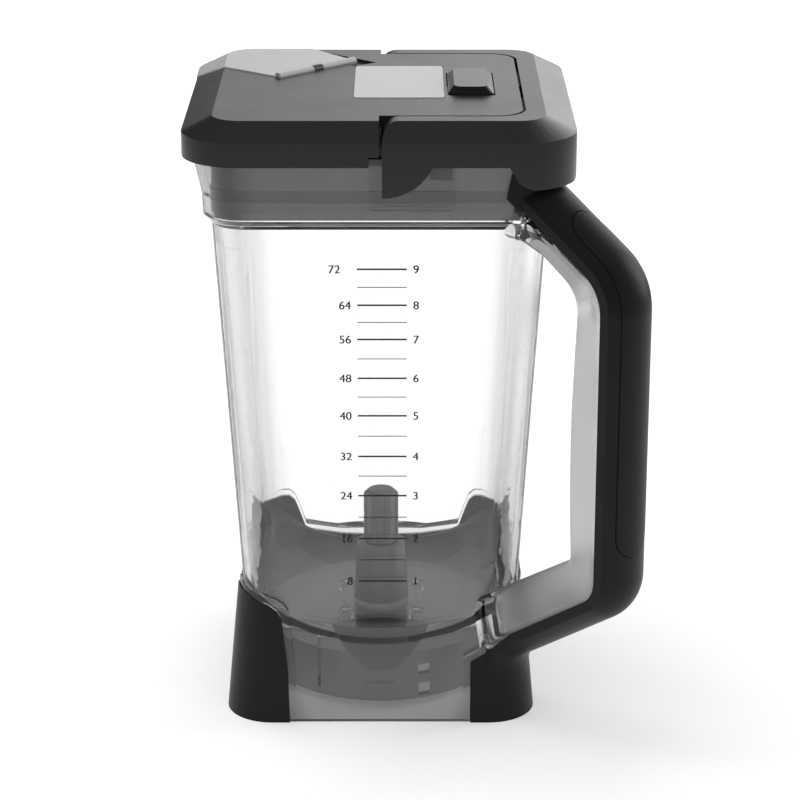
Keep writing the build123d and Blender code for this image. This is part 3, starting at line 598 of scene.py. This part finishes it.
def inner_wall(z):
    """Half width and corner radius of the vessel's inside at a height."""
    half = WALL_HALF_AT_BASE + WALL_LEAN * z - WALL_THICKNESS
    return half, CORNER_RADIUS_LOW + CORNER_RADIUS_GAIN * z - WALL_THICKNESS


def inner_reach(x, y, z):
    """Distance from the axis to the vessel's inside, in the direction of a point."""
    half, radius = inner_wall(z)
    core = half - radius
    turn = math.atan2(min(abs(x), abs(y)), max(abs(x), abs(y)))
    flat = half / math.cos(turn)
    if flat * math.sin(turn) <= core:
        return flat
    along = core * (math.cos(turn) + math.sin(turn))
    return along + math.sqrt(along * along - 2 * core * core + radius * radius)


def inner_normal(x, y, z):
    """Direction in which the vessel's inside faces at a point on it."""
    half, radius = inner_wall(z)
    core = half - radius
    past_x, past_y = max(abs(x) - core, 0.0), max(abs(y) - core, 0.0)
    if abs(x) >= abs(y) and past_y == 0.0:
        past_x = 1.0
    elif past_x == 0.0:
        past_y = 1.0
    side = Vector((-math.copysign(past_x, x), -math.copysign(past_y, y), 0)).normalized()
    return (side + Vector((0, 0, WALL_LEAN))).normalized()


def even_corners():
    """A copy of the jar with corners as thin as its walls where the bowl's side fills them."""
    mesh = nodes["jar_body"].data.copy()
    mesh.name = "jar_body_even"
    normals = [tuple(corner.vector) for corner in mesh.corner_normals]
    moved = set()
    for vertex in mesh.vertices:
        x, y, z = vertex.co
        reach = math.hypot(x, y)
        if abs(reach - BOWL_SIDE) < BOWL_SIDE_TOLERANCE and BOWL_SIDE_LOW < z < BOWL_SIDE_HIGH:
            wanted = inner_reach(x, y, z)
            if wanted > reach:
                vertex.co = (x * wanted / reach, y * wanted / reach, z)
                moved.add(vertex.index)
    for face in mesh.polygons:
        heights = [mesh.vertices[index].co.z for index in face.vertices]
        upright = max(heights) - min(heights) > LEVEL_FACE_HEIGHT and min(heights) > BOWL_SIDE_LOW
        if upright and moved.intersection(face.vertices):
            for corner, index in zip(face.loop_indices, face.vertices):
                normals[corner] = tuple(inner_normal(*mesh.vertices[index].co))
    mesh.normals_split_custom_set(normals)
    piece = new_object("jar_body_even", mesh)
    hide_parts("jar_body")
    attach(piece, "jar")


# Printed scale

def wall_point(x, z):
    """A point just in front of the front wall."""
    return (x, -(WALL_HALF_AT_BASE + WALL_LEAN * z) - INK_LIFT, z)


def line_shape(height, width):
    """Corners and face of one printed line."""
    low, high = height - width / 2, height + width / 2
    corners = ((MARK_LEFT, low), (MARK_RIGHT, low), (MARK_RIGHT, high), (MARK_LEFT, high))
    return [wall_point(x, z) for x, z in corners], [(0, 1, 2, 3)]


def number_shape(text, x, height, align):
    """Points and faces of a printed number, laid on the front wall."""
    curve = bpy.data.curves.new("number", "FONT")
    curve.body = text
    curve.size = NUMBER_HEIGHT / DIGIT_SHARE_OF_FONT
    curve.align_x = align
    carrier = new_object("number", curve)
    bpy.context.view_layer.update()
    mesh = bpy.data.meshes.new_from_object(carrier)
    foot = height - NUMBER_HEIGHT / 2
    points = [wall_point(x + vertex.co.x, foot + vertex.co.y) for vertex in mesh.vertices]
    faces = [tuple(face.vertices) for face in mesh.polygons]
    bpy.data.objects.remove(carrier)
    bpy.data.curves.remove(curve)
    bpy.data.meshes.remove(mesh)
    return points, faces


def printed_scale():
    """Lines and plain numbers on the front wall, as one piece of thin faces."""
    shapes = []
    heights = [row[0] * MM for row in SCALE_MARKS]
    for height, (_, left, right) in zip(heights, SCALE_MARKS):
        shapes.append(line_shape(height, FULL_MARK_WIDTH))
        end = FIRST_LEFT_NUMBER_END if height == heights[0] else LEFT_NUMBER_END
        for spread in (-NUMBER_SPREAD, NUMBER_SPREAD):
            shapes.append(number_shape(left, end + spread, height, "RIGHT"))
            shapes.append(number_shape(right, RIGHT_NUMBER_START + spread, height, "LEFT"))
    for above, below in zip(heights, heights[1:]):
        shapes.append(line_shape((above + below) / 2, HALF_MARK_WIDTH))
    points, faces = [], []
    for some_points, some_faces in shapes:
        offset = len(points)
        points.extend(some_points)
        faces.extend(tuple(index + offset for index in face) for face in some_faces)
    mesh = bpy.data.meshes.new("printed_scale")
    mesh.from_pydata(points, [], faces)
    mesh.materials.append(scale_ink())
    piece = new_object("printed_scale", mesh)
    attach(piece, "jar")


# Stage, light and camera

def radial_range(tree, near, far, near_value, far_value):
    """A value that changes with the distance from the jar's axis on the floor."""
    length = tree.nodes.new("ShaderNodeVectorMath")
    length.operation = "LENGTH"
    tree.links.new(own_place(tree), length.inputs[0])
    return ramp_node(tree, length.outputs["Value"], near, far, near_value, far_value)


def corner_level(tree):
    """1 towards front, back, left and right, and less towards the four corners of the studio."""
    sides = split_vector(tree, own_place(tree))
    across = math_node(tree, "MULTIPLY", sides["X"], sides["X"])
    along = math_node(tree, "MULTIPLY", sides["Y"], sides["Y"])
    whole = math_node(tree, "ADD", math_node(tree, "ADD", across, along), NOT_ZERO)
    product = math_node(tree, "MULTIPLY", across, along)
    share = math_node(tree, "DIVIDE", product, math_node(tree, "MULTIPLY", whole, whole))
    return ramp_node(tree, share, *STUDIO_CORNER_SHARE, 1.0, 1.0 - STUDIO_CORNER_DEPTH)


def floor_shade(tree, through):
    """Change of the floor's brightness where it is seen through clear plastic."""
    band = math_node(tree, "MULTIPLY", radial_range(tree, *STUDIO_CORNERS_BEGIN, 0.0, 1.0),
                     radial_range(tree, *STUDIO_CORNERS_END, 1.0, STUDIO_CORNERS_LEFT_OVER))
    shade = math_node(tree, "MULTIPLY", band, math_node(tree, "SUBTRACT", corner_level(tree), 1.0))
    shade = math_node(tree, "ADD", shade, radial_range(tree, *HORIZON, 0.0, -HORIZON_SHADE))
    shade = math_node(tree, "ADD", shade, radial_range(tree, *UNDER_JAR, -UNDER_JAR_SHADE, 0.0))
    return math_node(tree, "MULTIPLY", through, math_node(tree, "MAXIMUM", shade, -DEEPEST_SHADE))


def floor_material():
    """Pale floor: white to the eye, shaded through clear plastic, lost in far reflections."""
    material = bpy.data.materials.new("pale_floor")
    material.use_nodes = True
    tree = material.node_tree
    shader = tree.nodes["Principled BSDF"]
    shader.inputs["Roughness"].default_value = 0.9
    shader.inputs["Specular IOR Level"].default_value = 0.0
    shader.inputs["Emission Color"].default_value = (1, 1, 1, 1)
    path = tree.nodes.new("ShaderNodeLightPath")
    direct = path.outputs["Is Camera Ray"]
    through = path.outputs["Is Transmission Ray"]
    seen = math_node(tree, "MAXIMUM", direct, through)
    glossy = math_node(tree, "MULTIPLY", path.outputs["Is Glossy Ray"],
                       math_node(tree, "SUBTRACT", 1.0, through))
    shaded = math_node(tree, "ADD", 1.0, floor_shade(tree, through))

    lost = radial_range(tree, *MIRRORED_FLOOR_END, 0.0, MIRRORED_FLOOR_LOSS)
    pale = math_node(tree, "SUBTRACT", FLOOR_PALE, math_node(tree, "MULTIPLY", glossy, lost))
    pale = math_node(tree, "MULTIPLY", pale, shaded)
    tint = tree.nodes.new("ShaderNodeCombineColor")
    for socket in tint.inputs[:3]:
        tree.links.new(pale, socket)
    tree.links.new(tint.outputs[0], shader.inputs["Base Color"])

    lift = math_node(tree, "MULTIPLY", math_node(tree, "MULTIPLY", seen, FLOOR_LIFT), shaded)
    far = radial_range(tree, *FAR_FLOOR, 0.0, FAR_FLOOR_LIFT)
    lift = math_node(tree, "ADD", lift, math_node(tree, "MULTIPLY", direct, far))
    near = radial_range(tree, *MIRRORED_FLOOR_END, FLOOR_LIFT, 0.0)
    lift = math_node(tree, "ADD", lift, math_node(tree, "MULTIPLY", glossy, near))
    tree.links.new(lift, shader.inputs["Emission Strength"])
    return material


def make_floor():
    mesh = bpy.data.meshes.new("floor")
    half = FLOOR_HALF
    mesh.from_pydata([(-half, -half, 0), (half, -half, 0), (half, half, 0), (-half, half, 0)],
                     [], [(0, 1, 2, 3)])
    mesh.materials.append(floor_material())
    floor = new_object("floor", mesh)


def make_world():
    """White to the eye; in reflections bright at the back right, dim in front and above."""
    world = bpy.data.worlds.new("studio")
    scene.world = world
    world.use_nodes = True
    tree = world.node_tree
    background = tree.nodes["Background"]
    place = tree.nodes.new("ShaderNodeTexCoord")
    sides = split_vector(tree, place.outputs["Generated"])
    back = ramp_node(tree, sides["X"], *BACK_LEFT_TO_RIGHT, BACK_LEFT_GLOW, BACK_RIGHT_GLOW)
    front = ramp_node(tree, sides["X"], *FRONT_LEFT_TO_RIGHT, FRONT_LEFT_GLOW, FRONT_RIGHT_GLOW)
    turn = ramp_node(tree, sides["Y"], *FRONT_TO_BACK, 0.0, 1.0)
    change = math_node(tree, "MULTIPLY", turn, math_node(tree, "SUBTRACT", back, front))
    walls = math_node(tree, "ADD", front, change)
    ceiling = ramp_node(tree, sides["Z"], *SIDES_TO_CEILING, 0.0, 1.0)
    drop = math_node(tree, "MULTIPLY", ceiling, math_node(tree, "SUBTRACT", CEILING_GLOW, walls))
    glossy = math_node(tree, "ADD", walls, drop)
    clear = ramp_node(tree, sides["Z"], *LOW_TO_HIGH_CLEAR, LOW_CLEAR_GLOW, HIGH_CLEAR_GLOW)
    path = tree.nodes.new("ShaderNodeLightPath")
    strength = DIFFUSE_GLOW
    levels = (("Is Glossy Ray", glossy), ("Is Transmission Ray", clear), ("Is Camera Ray", 1.0))
    for ray, level in levels:
        step = math_node(tree, "SUBTRACT", level, strength)
        step = math_node(tree, "MULTIPLY", path.outputs[ray], step)
        strength = math_node(tree, "ADD", strength, step)
    tree.links.new(strength, background.inputs["Strength"])
    background.inputs["Color"].default_value = (1, 1, 1, 1)


def make_lights():
    for name, (place, target, size, power, glossy) in SOFTBOXES.items():
        light = bpy.data.lights.new(name, "AREA")
        light.shape = "RECTANGLE"
        light.size, light.size_y = size
        light.energy = power
        lamp = new_object(name, light)
        lamp.location = place
        lamp.rotation_euler = (Vector(target) - Vector(place)).to_track_quat("-Z", "Y").to_euler()
        lamp.visible_glossy = glossy
        lamp.visible_camera = False
        lamp.visible_transmission = False


def make_camera():
    camera = bpy.data.cameras.new("camera")
    camera.sensor_width = SENSOR_WIDTH
    camera.lens = LENS
    camera.clip_end = SIGHT_END
    holder = new_object("camera", camera)
    holder.location = CAMERA_PLACE
    holder.rotation_euler = (CAMERA_TILT, 0, 0)
    scene.camera = holder


scene.view_settings.view_transform = "Standard"
dress_all()
round_edges()
shortening_springs()
even_corners()
printed_scale()
make_floor()
make_world()
make_lights()
make_camera()
